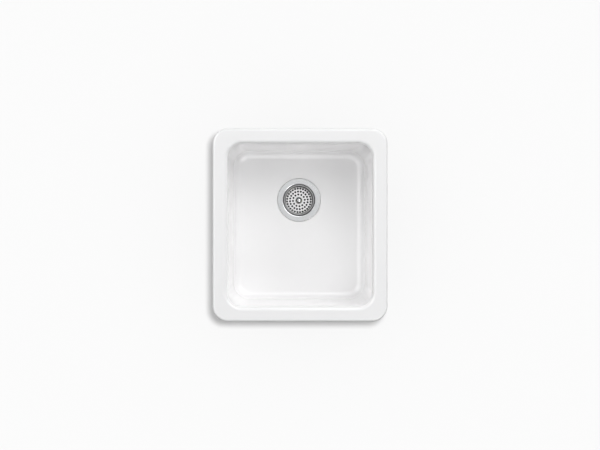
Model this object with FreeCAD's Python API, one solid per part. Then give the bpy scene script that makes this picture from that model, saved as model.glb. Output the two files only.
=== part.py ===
import FreeCAD
import Part

import math
import os

# Single bowl kitchen sink in enamelled cast iron, with its basket strainer and tailpiece. Millimetres.
# The origin is the middle of the rim's seat on the counter. +Z is up, +Y the back and +X the right.

V = FreeCAD.Vector

# Casting: rim
RIM_WIDTH = 431.8
RIM_LENGTH = 476.25
RIM_CORNER = 38.1
RIM_HEIGHT = 14.0
RIM_EDGE_ROUND = 7.0
RIM_FOOT_ROUND = 1.5
SKIRT_THICK = 8.0
DECK_THICK = 6.5

# Casting: bowl. The rim band runs from the rim's edge to where the wall would meet the deck.
RIM_BAND = 36.5
LIP_ROUND = 10.0
BASIN_DEPTH = 200.0
WALL_LEAN = 7.0
BOWL_CORNER_TOP = 36.0
BOWL_CORNER_FLOOR = 44.0
FLOOR_ROUND = 22.0
WALL_THICK = 6.35
FLOOR_THICK = 6.35
UNDER_DECK_ROUND = 5.0

# Casting: drain. The floor falls to the drain in a shallow dish, and the flange lies in a recess.
DRAIN_BACK = 66.7
DISH_DEPTH = 1.2
DISH_MARGIN = 8.0
RECESS_DEPTH = 2.8
RECESS_GAP = 1.0
RECESS_ROUND = 1.2
DRAIN_HOLE_R = 44.45
BOSS_MARGIN = 5.85
BOSS_HEIGHT = 3.2

# Strainer body. Its flange overlaps the drain hole, and its barrel goes through with room to spare.
FLANGE_OVERLAP = 12.7
FLANGE_EDGE = 0.8
FLANGE_EDGE_ROUND = 1.2
FLANGE_CROWN = 2.6
THROAT_ROLL = 5.0
LEDGE_WIDTH = 1.4
LEDGE_DROP = 4.4
BARREL_GAP = 2.05
BARREL_WALL = 3.2
SEAT_FALL = 0.88
SEAT_WALL = 3.4
OUTLET_R = 20.0
SPIGOT_R = 23.8
SPIGOT_LENGTH = 20.0
SPIDER_DROP = 3.0
SPIDER_HEIGHT = 5.0
SPIDER_HUB_R = 7.0
SPIDER_HOLE_R = 4.0
SPIDER_ARM_WIDTH = 2.4
SPIDER_ARMS = 4

# Seals and nuts under the sink
PUTTY_THICK = 0.8
PUTTY_INSET = 0.6
GASKET_THICK = 4.0
GASKET_INSET = 1.0
GASKET_BEVEL = 1.0
FRICTION_THICK = 1.2
FRICTION_INSET = 0.6
LOCK_NUT_HEIGHT = 11.0
LOCK_NUT_WALL = 6.4
LOCK_NUT_FLANGE_INSET = 0.5
LOCK_NUT_FLANGE_THICK = 3.0
LOCK_NUT_LUGS = 6
LOCK_NUT_LUG_WIDTH = 9.0
LOCK_NUT_BEVEL = 0.8
THREAD_GAP = 0.2
WASHER_GAP = 0.5

# Tailpiece and its coupling nut
TAIL_R = 19.05
TAIL_WALL = 1.1
TAIL_LENGTH = 101.6
TAIL_FLANGE_THICK = 1.2
TAIL_COLLAR = 0.25
TAIL_COLLAR_SHOW = 2.0
TAIL_WASHER_THICK = 2.5
COUPLING_FLATS = 56.0
COUPLING_REACH = 12.0
COUPLING_LIP = 3.2
COUPLING_BEVEL = 1.6
COUPLING_GAP = 0.3

# Basket cup. The rings of round holes share one starting angle, counted from +X, and each ring inwards
# has fewer holes.
SHEET = 0.8
CUP_DEPTH = 40.0
CUP_GAP = 1.0
CUP_TAPER = 1.6
CUP_ROUND = 1.8
CUP_RIM_THICK = 1.4
CUP_RIM_GAP = 0.5
SEAT_GAP = 0.1
HOLE_R = 2.6
HOLE_MARGIN = 4.6
HOLE_PITCH = 8.0
HOLE_RING_COUNT = 3
OUTER_RING_HOLES = 28
FEWER_PER_RING = 8
HOLE_START = 95.6

# Stem, its bush in the cup, and the stopper
STEM_R = 4.0
STEM_END_R = 3.0
STEM_FIT = 0.05
BUSH_R = 7.0
BUSH_FLANGE_R = 9.5
BUSH_FLANGE_THICK = 1.5
BUSH_TURN_GAP = 0.1
BUSH_FIT = 0.08
BUSH_RING_THICK = 1.5
RING_FIT = 0.02
GRIP_SECTION_R = 0.9
GRIP_GROOVE_GAP = 0.1
STOP_GAP = 0.3
STOPPER_TRAVEL = 7.0
KNOB_LIFT = 1.0
KNOB_R = 7.0
KNOB_NECK_R = 5.2
KNOB_HEIGHT = 12.5
KNOB_HEAD = 5.5
KNOB_DOME_R = 9.0
KNOB_BORE_DEPTH = 7.0
BACKING_R = 15.0
BACKING_THICK = 1.2
STOPPER_R = 29.5
STOPPER_BASE_R = 27.0
STOPPER_THICK = 6.0
STOPPER_EDGE = 2.5
STOPPER_SEAT_GAP = 0.6
NUT_FLATS = 12.0
NUT_HEIGHT = 5.0
STEM_TAIL = 1.5

# Radii worked out from those sizes
flange_r = DRAIN_HOLE_R + FLANGE_OVERLAP
recess_r = flange_r + RECESS_GAP
boss_r = flange_r + BOSS_MARGIN
barrel_r = DRAIN_HOLE_R - BARREL_GAP
throat_bore_r = barrel_r - BARREL_WALL
throat_r = throat_bore_r + LEDGE_WIDTH
gasket_r = flange_r - GASKET_INSET
friction_r = gasket_r - FRICTION_INSET
lock_nut_bore_r = barrel_r + THREAD_GAP
lock_nut_r = lock_nut_bore_r + LOCK_NUT_WALL
lock_nut_flange_r = friction_r - LOCK_NUT_FLANGE_INSET
cup_top_r = throat_bore_r - CUP_GAP
cup_base_r = cup_top_r - CUP_TAPER
seat_r = STOPPER_BASE_R + STOPPER_SEAT_GAP
coupling_bore_r = SPIGOT_R + THREAD_GAP
collar_r = TAIL_R + TAIL_COLLAR

# Levels worked out from those sizes
deck_z = RIM_HEIGHT
floor_z = deck_z - BASIN_DEPTH
under_z = floor_z - FLOOR_THICK
boss_z = under_z - BOSS_HEIGHT
dish_z = floor_z - DISH_DEPTH
recess_z = dish_z - RECESS_DEPTH
flange_z = recess_z + PUTTY_THICK
crown_z = flange_z + FLANGE_CROWN
ledge_z = flange_z - LEDGE_DROP
gasket_z = boss_z - GASKET_THICK
friction_z = gasket_z - FRICTION_THICK
lock_nut_z = friction_z - LOCK_NUT_HEIGHT

cup_rim_z = ledge_z + SEAT_GAP
cup_top_z = cup_rim_z + CUP_RIM_THICK
cup_floor_z = cup_top_z - CUP_DEPTH
cup_under_z = cup_floor_z - SHEET
bush_top_z = cup_floor_z + BUSH_TURN_GAP + BUSH_FLANGE_THICK
bush_ring_z = cup_under_z - BUSH_TURN_GAP - BUSH_RING_THICK
backing_top_z = bush_ring_z - STOP_GAP
stopper_top_z = backing_top_z - BACKING_THICK
stopper_z = stopper_top_z - STOPPER_THICK
nut_z = stopper_z - NUT_HEIGHT
stem_z = nut_z - STEM_TAIL
knob_z = bush_top_z + STOPPER_TRAVEL + KNOB_LIFT

seat_z = stopper_z - STOPPER_TRAVEL
seat_top_z = seat_z + (throat_bore_r - seat_r) * SEAT_FALL
outlet_z = seat_z - (seat_r - OUTLET_R) * SEAT_FALL
spider_z = outlet_z - SPIDER_DROP
spigot_z = outlet_z - SPIGOT_LENGTH
tail_washer_z = spigot_z - TAIL_WASHER_THICK
tail_flange_z = tail_washer_z - TAIL_FLANGE_THICK
tail_end_z = tail_washer_z - TAIL_LENGTH
coupling_z = tail_flange_z - COUPLING_LIP

AXIS_FOOT = V(0, DRAIN_BACK, 0)
UP = V(0, 0, 1)
ARC_MIDDLE = 1 - math.sqrt(0.5)
OVERSHOOT = 5.0
PICK_MARGIN = 1.0


def rounded_rectangle(half_x, half_y, corner, z):
    """Level closed wire of a rectangle with round corners."""
    arcs = []
    for turn, (side_x, side_y) in enumerate(((1, 1), (-1, 1), (-1, -1), (1, -1))):
        middle = V(side_x * (half_x - corner), side_y * (half_y - corner), z)
        points = []
        for step in (0, 45, 90):
            angle = math.radians(90 * turn + step)
            points.append(middle + V(math.cos(angle), math.sin(angle), 0) * corner)
        arcs.append(points)
    edges = []
    for turn, points in enumerate(arcs):
        edges.append(Part.Arc(*points).toShape())
        edges.append(Part.LineSegment(points[2], arcs[(turn + 1) % 4][0]).toShape())
    return Part.Wire(edges)


def rim_block(inset, z_low, z_high):
    """Upright block of the rim's outline, drawn in by inset."""
    outline = rounded_rectangle(RIM_WIDTH / 2 - inset, RIM_LENGTH / 2 - inset, RIM_CORNER - inset, z_low)
    return Part.Face(outline).extrude(V(0, 0, z_high - z_low))


def bowl_section(z, grow):
    """The bowl's inner outline at a level, grown outwards. The walls lean in evenly on the way down."""
    share = (deck_z - z) / BASIN_DEPTH
    inset = RIM_BAND + WALL_LEAN * share - grow
    corner = BOWL_CORNER_TOP + (BOWL_CORNER_FLOOR - BOWL_CORNER_TOP) * share + grow
    return rounded_rectangle(RIM_WIDTH / 2 - inset, RIM_LENGTH / 2 - inset, corner, z)


def level_edges(shape, z, inside_x, inside_y):
    """Edges that lie level at z, within a rectangle about the origin."""
    found = []
    for edge in shape.Edges:
        box = edge.BoundBox
        level = abs(box.ZMin - z) < 0.001 and abs(box.ZMax - z) < 0.001
        if level and box.XMax < inside_x and box.YMax < inside_y:
            found.append(edge)
    return found


def bowl_block(z_low, z_high, grow, round_radius):
    """Leaning block of the bowl's outline with its bottom edge rounded."""
    block = Part.makeLoft([bowl_section(z_low, grow), bowl_section(z_high, grow)], True, True)
    return block.makeFillet(round_radius, level_edges(block, z_low, RIM_WIDTH, RIM_LENGTH))


def turned(*steps):
    """Solid turned about the drain's axis. A step (r, z) is a straight run to that point, and a step
    ((r, z), (r, z)) an arc through the first point to the second. The outline closes by itself."""
    at = V(steps[0][0], DRAIN_BACK, steps[0][1])
    edges = []
    for step in steps[1:] + steps[:1]:
        if isinstance(step[0], tuple):
            through, to = (V(r, DRAIN_BACK, z) for r, z in step)
            edges.append(Part.Arc(at, through, to).toShape())
        else:
            to = V(step[0], DRAIN_BACK, step[1])
            edges.append(Part.LineSegment(at, to).toShape())
        at = to
    return Part.Face(Part.Wire(edges)).revolve(AXIS_FOOT, UP, 360)


def disc(radius, z_low, z_high):
    """Cylinder on the drain's axis."""
    return Part.makeCylinder(radius, z_high - z_low, V(0, DRAIN_BACK, z_low))


def ring(inner, outer, z_low, z_high):
    """Plain ring on the drain's axis."""
    return turned((inner, z_low), (outer, z_low), (outer, z_high), (inner, z_high))


def hexagon(flats, z_low, z_high):
    """Hexagonal prism on the drain's axis, with two flats facing +Y and -Y."""
    reach = flats / math.sqrt(3)
    points = []
    for corner in range(7):
        angle = math.radians(60 * corner)
        points.append(V(reach * math.cos(angle), DRAIN_BACK + reach * math.sin(angle), z_low))
    return Part.Face(Part.makePolygon(points)).extrude(V(0, 0, z_high - z_low))


def around(shape, count):
    """Copies of a shape, turned evenly about the drain's axis."""
    copies = []
    for step in range(count):
        copy = shape.copy()
        copy.rotate(AXIS_FOOT, UP, 360.0 * step / count)
        copies.append(copy)
    return copies


def radial_bar(r_low, r_high, width, z_low, z_high):
    """Box that runs out from the drain's axis along +X."""
    return Part.makeBox(r_high - r_low, width, z_high - z_low, V(r_low, DRAIN_BACK - width / 2, z_low))


def sink_bowl():
    """Casting: rim with a turned-down skirt, leaning bowl, dished floor and drain boss."""
    rim = rim_block(0, 0, deck_z)
    rim = rim.makeFillet(RIM_EDGE_ROUND, level_edges(rim, deck_z, RIM_WIDTH, RIM_LENGTH))
    rim = rim.makeFillet(RIM_FOOT_ROUND, level_edges(rim, 0, RIM_WIDTH, RIM_LENGTH))
    under_deck_z = deck_z - DECK_THICK
    rim = rim.cut(rim_block(SKIRT_THICK, -OVERSHOOT, under_deck_z))
    outside = bowl_block(under_z, deck_z - DECK_THICK / 2, WALL_THICK, FLOOR_ROUND + WALL_THICK)
    casting = rim.fuse(outside)
    wall_x = RIM_WIDTH / 2 - RIM_BAND + WALL_THICK + PICK_MARGIN
    wall_y = RIM_LENGTH / 2 - RIM_BAND + WALL_THICK + PICK_MARGIN
    casting = casting.makeFillet(UNDER_DECK_ROUND, level_edges(casting, under_deck_z, wall_x, wall_y))
    casting = casting.fuse(disc(boss_r, boss_z, floor_z - FLOOR_THICK / 2))
    casting = casting.cut(bowl_block(floor_z, deck_z + OVERSHOOT, 0, FLOOR_ROUND))
    casting = casting.makeFillet(LIP_ROUND, level_edges(casting, deck_z, wall_x, wall_y))
    flat_back = RIM_LENGTH / 2 - RIM_BAND - WALL_LEAN - FLOOR_ROUND
    dish_r = flat_back - DRAIN_BACK - DISH_MARGIN
    dish = turned((0, dish_z), (recess_r, dish_z), (dish_r, floor_z), (0, floor_z))
    casting = casting.cut(dish).cut(disc(recess_r, recess_z, floor_z))
    casting = casting.cut(disc(DRAIN_HOLE_R, boss_z - OVERSHOOT, floor_z))
    recess_edge = [
        edge
        for edge in casting.Edges
        if abs(edge.BoundBox.ZMin - dish_z) < 0.001 and abs(edge.BoundBox.ZMax - dish_z) < 0.001
    ]
    return casting.makeFillet(RECESS_ROUND, recess_edge)


def strainer_body():
    """Cast brass strainer: flange, throat with a ledge for the basket, seat, spider and threaded spigot."""
    edge_in = FLANGE_EDGE_ROUND * ARC_MIDDLE
    roll_in = THROAT_ROLL * ARC_MIDDLE
    edge_z = flange_z + FLANGE_EDGE
    barrel_z = seat_top_z - SEAT_WALL * 0.4
    shell = turned(
        (barrel_r, flange_z),
        (flange_r, flange_z),
        (flange_r, edge_z),
        (
            (flange_r - edge_in, edge_z + FLANGE_EDGE_ROUND - edge_in),
            (flange_r - FLANGE_EDGE_ROUND, edge_z + FLANGE_EDGE_ROUND),
        ),
        (throat_r + THROAT_ROLL, crown_z),
        ((throat_r + roll_in, crown_z - roll_in), (throat_r, crown_z - THROAT_ROLL)),
        (throat_r, ledge_z),
        (throat_bore_r, ledge_z),
        (throat_bore_r, seat_top_z),
        (OUTLET_R, outlet_z),
        (OUTLET_R, spigot_z),
        (SPIGOT_R, spigot_z),
        (SPIGOT_R, outlet_z - SEAT_WALL + (SPIGOT_R - OUTLET_R) * SEAT_FALL),
        (barrel_r, barrel_z),
    )
    arm = radial_bar(
        SPIDER_HOLE_R + (SPIDER_HUB_R - SPIDER_HOLE_R) / 2,
        OUTLET_R + (SPIGOT_R - OUTLET_R) / 2,
        SPIDER_ARM_WIDTH,
        spider_z - SPIDER_HEIGHT,
        spider_z,
    )
    hub = ring(SPIDER_HOLE_R, SPIDER_HUB_R, spider_z - SPIDER_HEIGHT, spider_z)
    return shell.fuse([hub] + around(arm, SPIDER_ARMS)).removeSplitter()


def drain_putty():
    """Ring of sealing putty pressed out under the flange."""
    return ring(DRAIN_HOLE_R, flange_r - PUTTY_INSET, recess_z, flange_z)


def drain_gasket():
    """Rubber gasket against the boss under the sink, bevelled at its lower rim."""
    return turned(
        (barrel_r + WASHER_GAP, gasket_z),
        (gasket_r - GASKET_BEVEL, gasket_z),
        (gasket_r, gasket_z + GASKET_BEVEL),
        (gasket_r, boss_z),
        (barrel_r + WASHER_GAP, boss_z),
    )


def friction_washer():
    """Fibre washer that lets the lock nut turn without dragging the gasket."""
    return ring(barrel_r + WASHER_GAP, friction_r, friction_z, gasket_z)


def lock_nut():
    """Ring nut with a pressing flange above and driving lugs around it."""
    shell = turned(
        (lock_nut_bore_r + LOCK_NUT_BEVEL, lock_nut_z),
        (lock_nut_r, lock_nut_z),
        (lock_nut_r, friction_z - LOCK_NUT_FLANGE_THICK),
        (lock_nut_flange_r, friction_z - LOCK_NUT_FLANGE_THICK),
        (lock_nut_flange_r, friction_z),
        (lock_nut_bore_r, friction_z),
        (lock_nut_bore_r, lock_nut_z + LOCK_NUT_BEVEL),
    )
    lug = radial_bar(
        (lock_nut_bore_r + lock_nut_r) / 2,
        lock_nut_flange_r - LOCK_NUT_BEVEL,
        LOCK_NUT_LUG_WIDTH,
        lock_nut_z,
        friction_z - LOCK_NUT_FLANGE_THICK / 2,
    )
    return shell.fuse(around(lug, LOCK_NUT_LUGS)).removeSplitter()


def tailpiece_washer():
    """Polyethylene washer between the spigot and the tailpiece's flange."""
    return ring(TAIL_R - TAIL_WALL, SPIGOT_R, tail_washer_z, spigot_z)


def tailpiece():
    """Drawn brass tube with a flange, and a collar where the coupling nut goes round it."""
    bore = TAIL_R - TAIL_WALL
    collar_z = coupling_z - TAIL_COLLAR_SHOW
    return turned(
        (bore, tail_end_z),
        (TAIL_R, tail_end_z),
        (TAIL_R, collar_z - TAIL_COLLAR),
        (collar_r, collar_z),
        (collar_r, tail_flange_z),
        (SPIGOT_R, tail_flange_z),
        (SPIGOT_R, tail_washer_z),
        (bore, tail_washer_z),
    )


def coupling_nut():
    """Hexagonal slip nut that pulls the tailpiece's flange up against the spigot."""
    top = spigot_z + COUPLING_REACH
    corner_r = COUPLING_FLATS / math.sqrt(3)
    face_r = COUPLING_FLATS / 2
    rise = (corner_r - face_r) * COUPLING_BEVEL / 2
    bevels = turned(
        (0, coupling_z),
        (face_r, coupling_z),
        (corner_r, coupling_z + rise),
        (corner_r, top - rise),
        (face_r, top),
        (0, top),
    )
    bore = turned(
        (0, coupling_z - OVERSHOOT),
        (collar_r + COUPLING_GAP, coupling_z - OVERSHOOT),
        (collar_r + COUPLING_GAP, tail_flange_z),
        (coupling_bore_r, tail_flange_z),
        (coupling_bore_r, top + OVERSHOOT),
        (0, top + OVERSHOOT),
    )
    return hexagon(COUPLING_FLATS, coupling_z, top).common(bevels).cut(bore)


def basket_cup():
    """Stainless cup with a rolled rim that sits on the throat's ledge, and a perforated floor."""
    rim_r = throat_r - CUP_RIM_GAP
    bead = CUP_RIM_THICK / 2
    inner_round = CUP_ROUND - SHEET
    inside = turned(
        (0, cup_floor_z),
        (cup_base_r - SHEET, cup_floor_z),
        (cup_top_r - SHEET, cup_top_z),
        (0, cup_top_z),
    )
    outside = turned(
        (0, cup_under_z),
        (cup_base_r, cup_under_z),
        (cup_top_r, cup_rim_z),
        (rim_r - bead, cup_rim_z),
        ((rim_r, cup_rim_z + bead), (rim_r - bead, cup_top_z)),
        (0, cup_top_z),
    )
    inside = inside.makeFillet(inner_round, circles_at(inside, cup_base_r - SHEET, cup_floor_z))
    outside = outside.makeFillet(CUP_ROUND, circles_at(outside, cup_base_r, cup_under_z))
    holes = [disc(BUSH_R + BUSH_FIT, cup_under_z - OVERSHOOT, cup_floor_z + OVERSHOOT)]
    for inwards in range(HOLE_RING_COUNT):
        ring_r = cup_base_r - HOLE_MARGIN - HOLE_PITCH * inwards
        count = OUTER_RING_HOLES - FEWER_PER_RING * inwards
        for step in range(count):
            angle = math.radians(HOLE_START + 360.0 * step / count)
            foot = AXIS_FOOT + V(math.cos(angle) * ring_r, math.sin(angle) * ring_r, cup_under_z - OVERSHOOT)
            holes.append(Part.makeCylinder(HOLE_R, SHEET + 2 * OVERSHOOT, foot))
    return outside.cut(inside).cut(Part.makeCompound(holes))


def circles_at(shape, radius, z):
    """Round edges about the drain's axis at a radius and level."""
    found = []
    for edge in shape.Edges:
        if isinstance(edge.Curve, Part.Circle):
            same = abs(edge.Curve.Radius - radius) < 0.001 and abs(edge.Curve.Center.z - z) < 0.001
            if same:
                found.append(edge)
    return found


def grip_groove_z():
    """Level of the middle of the grip ring's groove, half way down the bush."""
    return (bush_top_z + bush_ring_z) / 2


def stem_bush():
    """Nylon bush in the cup's floor, grooved inside for the grip ring."""
    bore = STEM_R + STEM_FIT
    half = GRIP_SECTION_R + GRIP_GROOVE_GAP
    groove_r = bore + 2 * GRIP_SECTION_R + GRIP_GROOVE_GAP
    middle = grip_groove_z()
    return turned(
        (bore, bush_ring_z),
        (BUSH_R, bush_ring_z),
        (BUSH_R, bush_top_z - BUSH_FLANGE_THICK),
        (BUSH_FLANGE_R, bush_top_z - BUSH_FLANGE_THICK),
        (BUSH_FLANGE_R, bush_top_z - BUSH_FLANGE_THICK / 2),
        (BUSH_FLANGE_R - BUSH_FLANGE_THICK / 2, bush_top_z),
        (bore, bush_top_z),
        (bore, middle + half),
        (groove_r, middle + half),
        (groove_r, middle - half),
        (bore, middle - half),
    )


def bush_ring():
    """Push-on ring that holds the bush from under the cup."""
    return ring(BUSH_R + RING_FIT, BUSH_FLANGE_R, bush_ring_z, bush_ring_z + BUSH_RING_THICK)


def grip_ring():
    """Rubber ring in the bush that grips the stem, so that it stays up or down."""
    middle_r = STEM_R + STEM_FIT + GRIP_SECTION_R
    return Part.makeTorus(middle_r, GRIP_SECTION_R, V(0, DRAIN_BACK, grip_groove_z()))


def stem():
    """Steel stem with a shouldered end for the stopper and a spigot for the knob."""
    return turned(
        (0, stem_z),
        (STEM_END_R, stem_z),
        (STEM_END_R, backing_top_z),
        (STEM_R, backing_top_z),
        (STEM_R, knob_z),
        (STEM_END_R, knob_z),
        (STEM_END_R, knob_z + KNOB_BORE_DEPTH),
        (0, knob_z + KNOB_BORE_DEPTH),
    )


def stem_knob():
    """Round pull knob with a domed head, screwed on the stem."""
    top = knob_z + KNOB_HEIGHT
    head_z = top - KNOB_HEAD
    dome_z = top - KNOB_DOME_R
    bore_r = STEM_END_R + RING_FIT
    bore_top = knob_z + KNOB_BORE_DEPTH + RING_FIT
    waist_r = (KNOB_NECK_R + STEM_R) / 2
    return turned(
        (bore_r, knob_z),
        (KNOB_NECK_R, knob_z),
        ((waist_r, (knob_z + head_z) / 2), (KNOB_NECK_R, head_z)),
        (KNOB_R, dome_z + math.sqrt(KNOB_DOME_R**2 - KNOB_R**2)),
        ((KNOB_R / 2, dome_z + math.sqrt(KNOB_DOME_R**2 - KNOB_R**2 / 4)), (0, top)),
        (0, bore_top),
        (bore_r, bore_top),
    )


def backing_washer():
    """Steel washer above the rubber stopper."""
    return ring(STEM_END_R + RING_FIT, BACKING_R, stopper_top_z, backing_top_z)


def rubber_stopper():
    """Rubber stopper, tapered to meet the strainer's seat."""
    return turned(
        (STEM_END_R + RING_FIT, stopper_z),
        (STOPPER_BASE_R, stopper_z),
        (STOPPER_R, stopper_top_z - STOPPER_EDGE),
        (STOPPER_R, stopper_top_z - STOPPER_EDGE / 2),
        (STOPPER_R - STOPPER_EDGE / 2, stopper_top_z),
        (STEM_END_R + RING_FIT, stopper_top_z),
    )


def stopper_nut():
    """Hexagonal nut that holds the stopper on the stem."""
    bore = disc(STEM_END_R + RING_FIT, nut_z - OVERSHOOT, stopper_z + OVERSHOOT)
    return hexagon(NUT_FLATS, nut_z, stopper_z).cut(bore)


PIECES = (
    sink_bowl,
    drain_putty,
    strainer_body,
    drain_gasket,
    friction_washer,
    lock_nut,
    tailpiece_washer,
    tailpiece,
    coupling_nut,
    basket_cup,
    stem_bush,
    bush_ring,
    grip_ring,
    stem,
    stem_knob,
    backing_washer,
    rubber_stopper,
    stopper_nut,
)

os.makedirs("parts", exist_ok=True)
for piece in PIECES:
    shape = piece()
    shape.exportStep(os.path.join("parts", piece.__name__ + ".step"))
    box = shape.BoundBox
    print(
        piece.__name__,
        "solids", len(shape.Solids),
        "valid", shape.isValid(),
        "volume", round(shape.Volume),
        "z", round(box.ZMin, 2), round(box.ZMax, 2),
    )
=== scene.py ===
import math

import bpy
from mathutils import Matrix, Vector


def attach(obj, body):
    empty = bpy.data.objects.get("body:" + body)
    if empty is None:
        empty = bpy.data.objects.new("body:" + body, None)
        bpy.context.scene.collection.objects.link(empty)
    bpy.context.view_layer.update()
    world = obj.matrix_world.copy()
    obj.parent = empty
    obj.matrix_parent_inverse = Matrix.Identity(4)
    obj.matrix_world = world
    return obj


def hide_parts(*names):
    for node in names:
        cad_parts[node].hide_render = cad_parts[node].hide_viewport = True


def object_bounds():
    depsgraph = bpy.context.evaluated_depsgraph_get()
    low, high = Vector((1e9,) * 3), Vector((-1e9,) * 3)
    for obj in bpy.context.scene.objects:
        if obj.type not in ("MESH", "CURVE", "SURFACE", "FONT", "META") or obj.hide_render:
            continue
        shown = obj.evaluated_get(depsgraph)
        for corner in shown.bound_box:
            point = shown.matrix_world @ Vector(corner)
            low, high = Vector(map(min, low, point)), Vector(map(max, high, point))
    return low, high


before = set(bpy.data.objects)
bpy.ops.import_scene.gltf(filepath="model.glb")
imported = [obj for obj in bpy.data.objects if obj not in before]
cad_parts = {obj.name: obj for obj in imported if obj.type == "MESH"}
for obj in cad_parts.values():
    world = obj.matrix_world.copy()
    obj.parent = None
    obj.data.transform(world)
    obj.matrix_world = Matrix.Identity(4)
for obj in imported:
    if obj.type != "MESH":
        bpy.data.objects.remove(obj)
cad_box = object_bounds()


# The sink itself is one iron casting: a broad flat rim with a turned-down skirt, and a bowl with leaning walls.
# White glass enamel is fused on where it shows. The underside keeps its sand-cast skin under grey primer.
RIM_WIDTH, RIM_LENGTH, RIM_CORNER = 0.4318, 0.47625, 0.0381
DECK_Z, RIM_EDGE_ROUND, FOOT_ROUND = 0.014, 0.007, 0.0015
SKIRT_THICK, SKIRT_ROUND, SKIRT_FOOT_ROUND = 0.008, 0.003, 0.001
UNDER_DECK_Z, UNDER_DECK_ROUND = 0.0075, 0.005
RIM_BAND, LIP_ROUND, FLOOR_ROUND = 0.0365, 0.010, 0.022
FLOOR_Z, UNDER_Z, BOSS_Z, WALL_THICK = -0.186, -0.19235, -0.19555, 0.00635
BOWL_DEPTH, LEANS_IN_BY, BOWL_CORNER, CORNER_GROWS_BY = 0.200, 0.007, 0.036, 0.008
WALL_LEAN = math.atan(LEANS_IN_BY / BOWL_DEPTH)
CORNER_GROWTH = CORNER_GROWS_BY / BOWL_DEPTH
DRAIN_Y, DISH_R, DISH_Z = 0.0667, 0.0987, -0.1872
RECESS_R, RECESS_Z, RECESS_ROUND = 0.05815, -0.190, 0.0012
DRAIN_HOLE_R, BORE_ROUND = 0.04445, 0.0008
BOSS_R, BOSS_ROUND, BOSS_FILLET = 0.063, 0.0012, 0.0016
CORNER_STEPS, SIDE_STEPS, DECK_STEPS, LIP_STEPS, DISH_STEPS = 22, 30, 4, 18, 12
SUPPORT = 0.0004


def arc(centre, radius, start, end, steps):
    """Points of an arc in a section: the first coordinate runs inwards or along a radius, the second is height."""
    points = []
    for step in range(steps + 1):
        angle = math.radians(start + (end - start) * step / steps)
        points.append((centre[0] + radius * math.cos(angle), centre[1] + radius * math.sin(angle)))
    return points


def joined(stretches, steps):
    """One section line through several arcs, with a support point close to each end of the straight runs."""
    line = []
    for stretch in stretches:
        if line:
            start, end = Vector(line[-1]), Vector(stretch[0])
            share = SUPPORT / max((end - start).length, 3 * SUPPORT)
            inner = [share + (1 - 2 * share) * step / steps for step in range(steps + 1)]
            line += [tuple(start.lerp(end, part)) for part in inner]
        line += stretch
    return line


def bowl_inset(z):
    """How far the bowl's wall stands in from the rim's edge at a height."""
    return RIM_BAND + math.tan(WALL_LEAN) * (DECK_Z - z)


def bowl_corner(inset, z):
    """Corner radius of a level line of the bowl. It grows with depth, and lines at one height share their centres."""
    return BOWL_CORNER + CORNER_GROWTH * (DECK_Z - z) + bowl_inset(z) - inset


def level_loop(inset, corner, z):
    """One level line round the sink, anticlockwise from the right-hand side: corner, side, corner, side."""
    half_x, half_y = RIM_WIDTH / 2 - inset, RIM_LENGTH / 2 - inset
    corners = []
    for turn, (side_x, side_y) in enumerate(((1, 1), (-1, 1), (-1, -1), (1, -1))):
        middle = (side_x * (half_x - corner), side_y * (half_y - corner))
        corners.append(arc(middle, corner, 90 * turn, 90 * turn + 90, CORNER_STEPS))
    points = []
    for turn, bend in enumerate(corners):
        points += bend[:-1]
        start, end = Vector(bend[-1]), Vector(corners[(turn + 1) % 4][0])
        points += [tuple(start.lerp(end, step / SIDE_STEPS)) for step in range(SIDE_STEPS)]
    return [(x, y, z) for x, y in points]


def drain_loop(directions, radius, z):
    """One level circle round the drain, with a point in each of the given directions."""
    return [(radius * math.cos(a), DRAIN_Y + radius * math.sin(a), z) for a in directions]


def blended(first, last, steps):
    """Loops between two loops of the same floor, both ends left out."""
    loops = []
    for step in range(1, steps):
        share = step / steps
        loops.append([tuple(Vector(a).lerp(Vector(b), share)) for a, b in zip(first, last)])
    return loops


lean = math.degrees(WALL_LEAN)
lip_start = RIM_BAND - LIP_ROUND * math.tan(math.radians(45 - lean / 2))
floor_round_z = FLOOR_Z + FLOOR_ROUND
floor_start = bowl_inset(floor_round_z) + FLOOR_ROUND / math.cos(WALL_LEAN)
under_round = floor_round_z - UNDER_Z
under_start = bowl_inset(floor_round_z) - WALL_THICK + under_round / math.cos(WALL_LEAN)
neck_z = UNDER_DECK_Z - UNDER_DECK_ROUND
neck_start = bowl_inset(neck_z) - WALL_THICK - UNDER_DECK_ROUND / math.cos(WALL_LEAN)

rim_outside = joined(
    [
        arc((FOOT_ROUND, FOOT_ROUND), FOOT_ROUND, 270, 180, 4),
        arc((RIM_EDGE_ROUND, DECK_Z - RIM_EDGE_ROUND), RIM_EDGE_ROUND, 180, 90, 14),
    ],
    steps=2,
)
basin = joined(
    [
        arc((lip_start, DECK_Z - LIP_ROUND), LIP_ROUND, 90, lean, LIP_STEPS),
        arc((floor_start, floor_round_z), FLOOR_ROUND, 180 + lean, 270, 20),
    ],
    steps=14,
)
under_bowl = joined(
    [
        arc((under_start, floor_round_z), under_round, 270, 180 + lean, 14),
        arc((neck_start, neck_z), UNDER_DECK_ROUND, lean, 90, 6),
    ],
    steps=12,
)
skirt_inside = joined(
    [
        arc((SKIRT_THICK + SKIRT_ROUND, UNDER_DECK_Z - SKIRT_ROUND), SKIRT_ROUND, 90, 180, 5),
        arc((SKIRT_THICK - SKIRT_FOOT_ROUND, SKIRT_FOOT_ROUND), SKIRT_FOOT_ROUND, 360, 270, 3),
    ],
    steps=2,
)
dish = []
for step in range(DISH_STEPS + 1):
    share = step / DISH_STEPS
    fall = (share * share * (3 - 2 * share) + share * share) / 2
    dish.append((DISH_R + (RECESS_R + RECESS_ROUND - DISH_R) * share, FLOOR_Z + (DISH_Z - FLOOR_Z) * fall))
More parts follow.
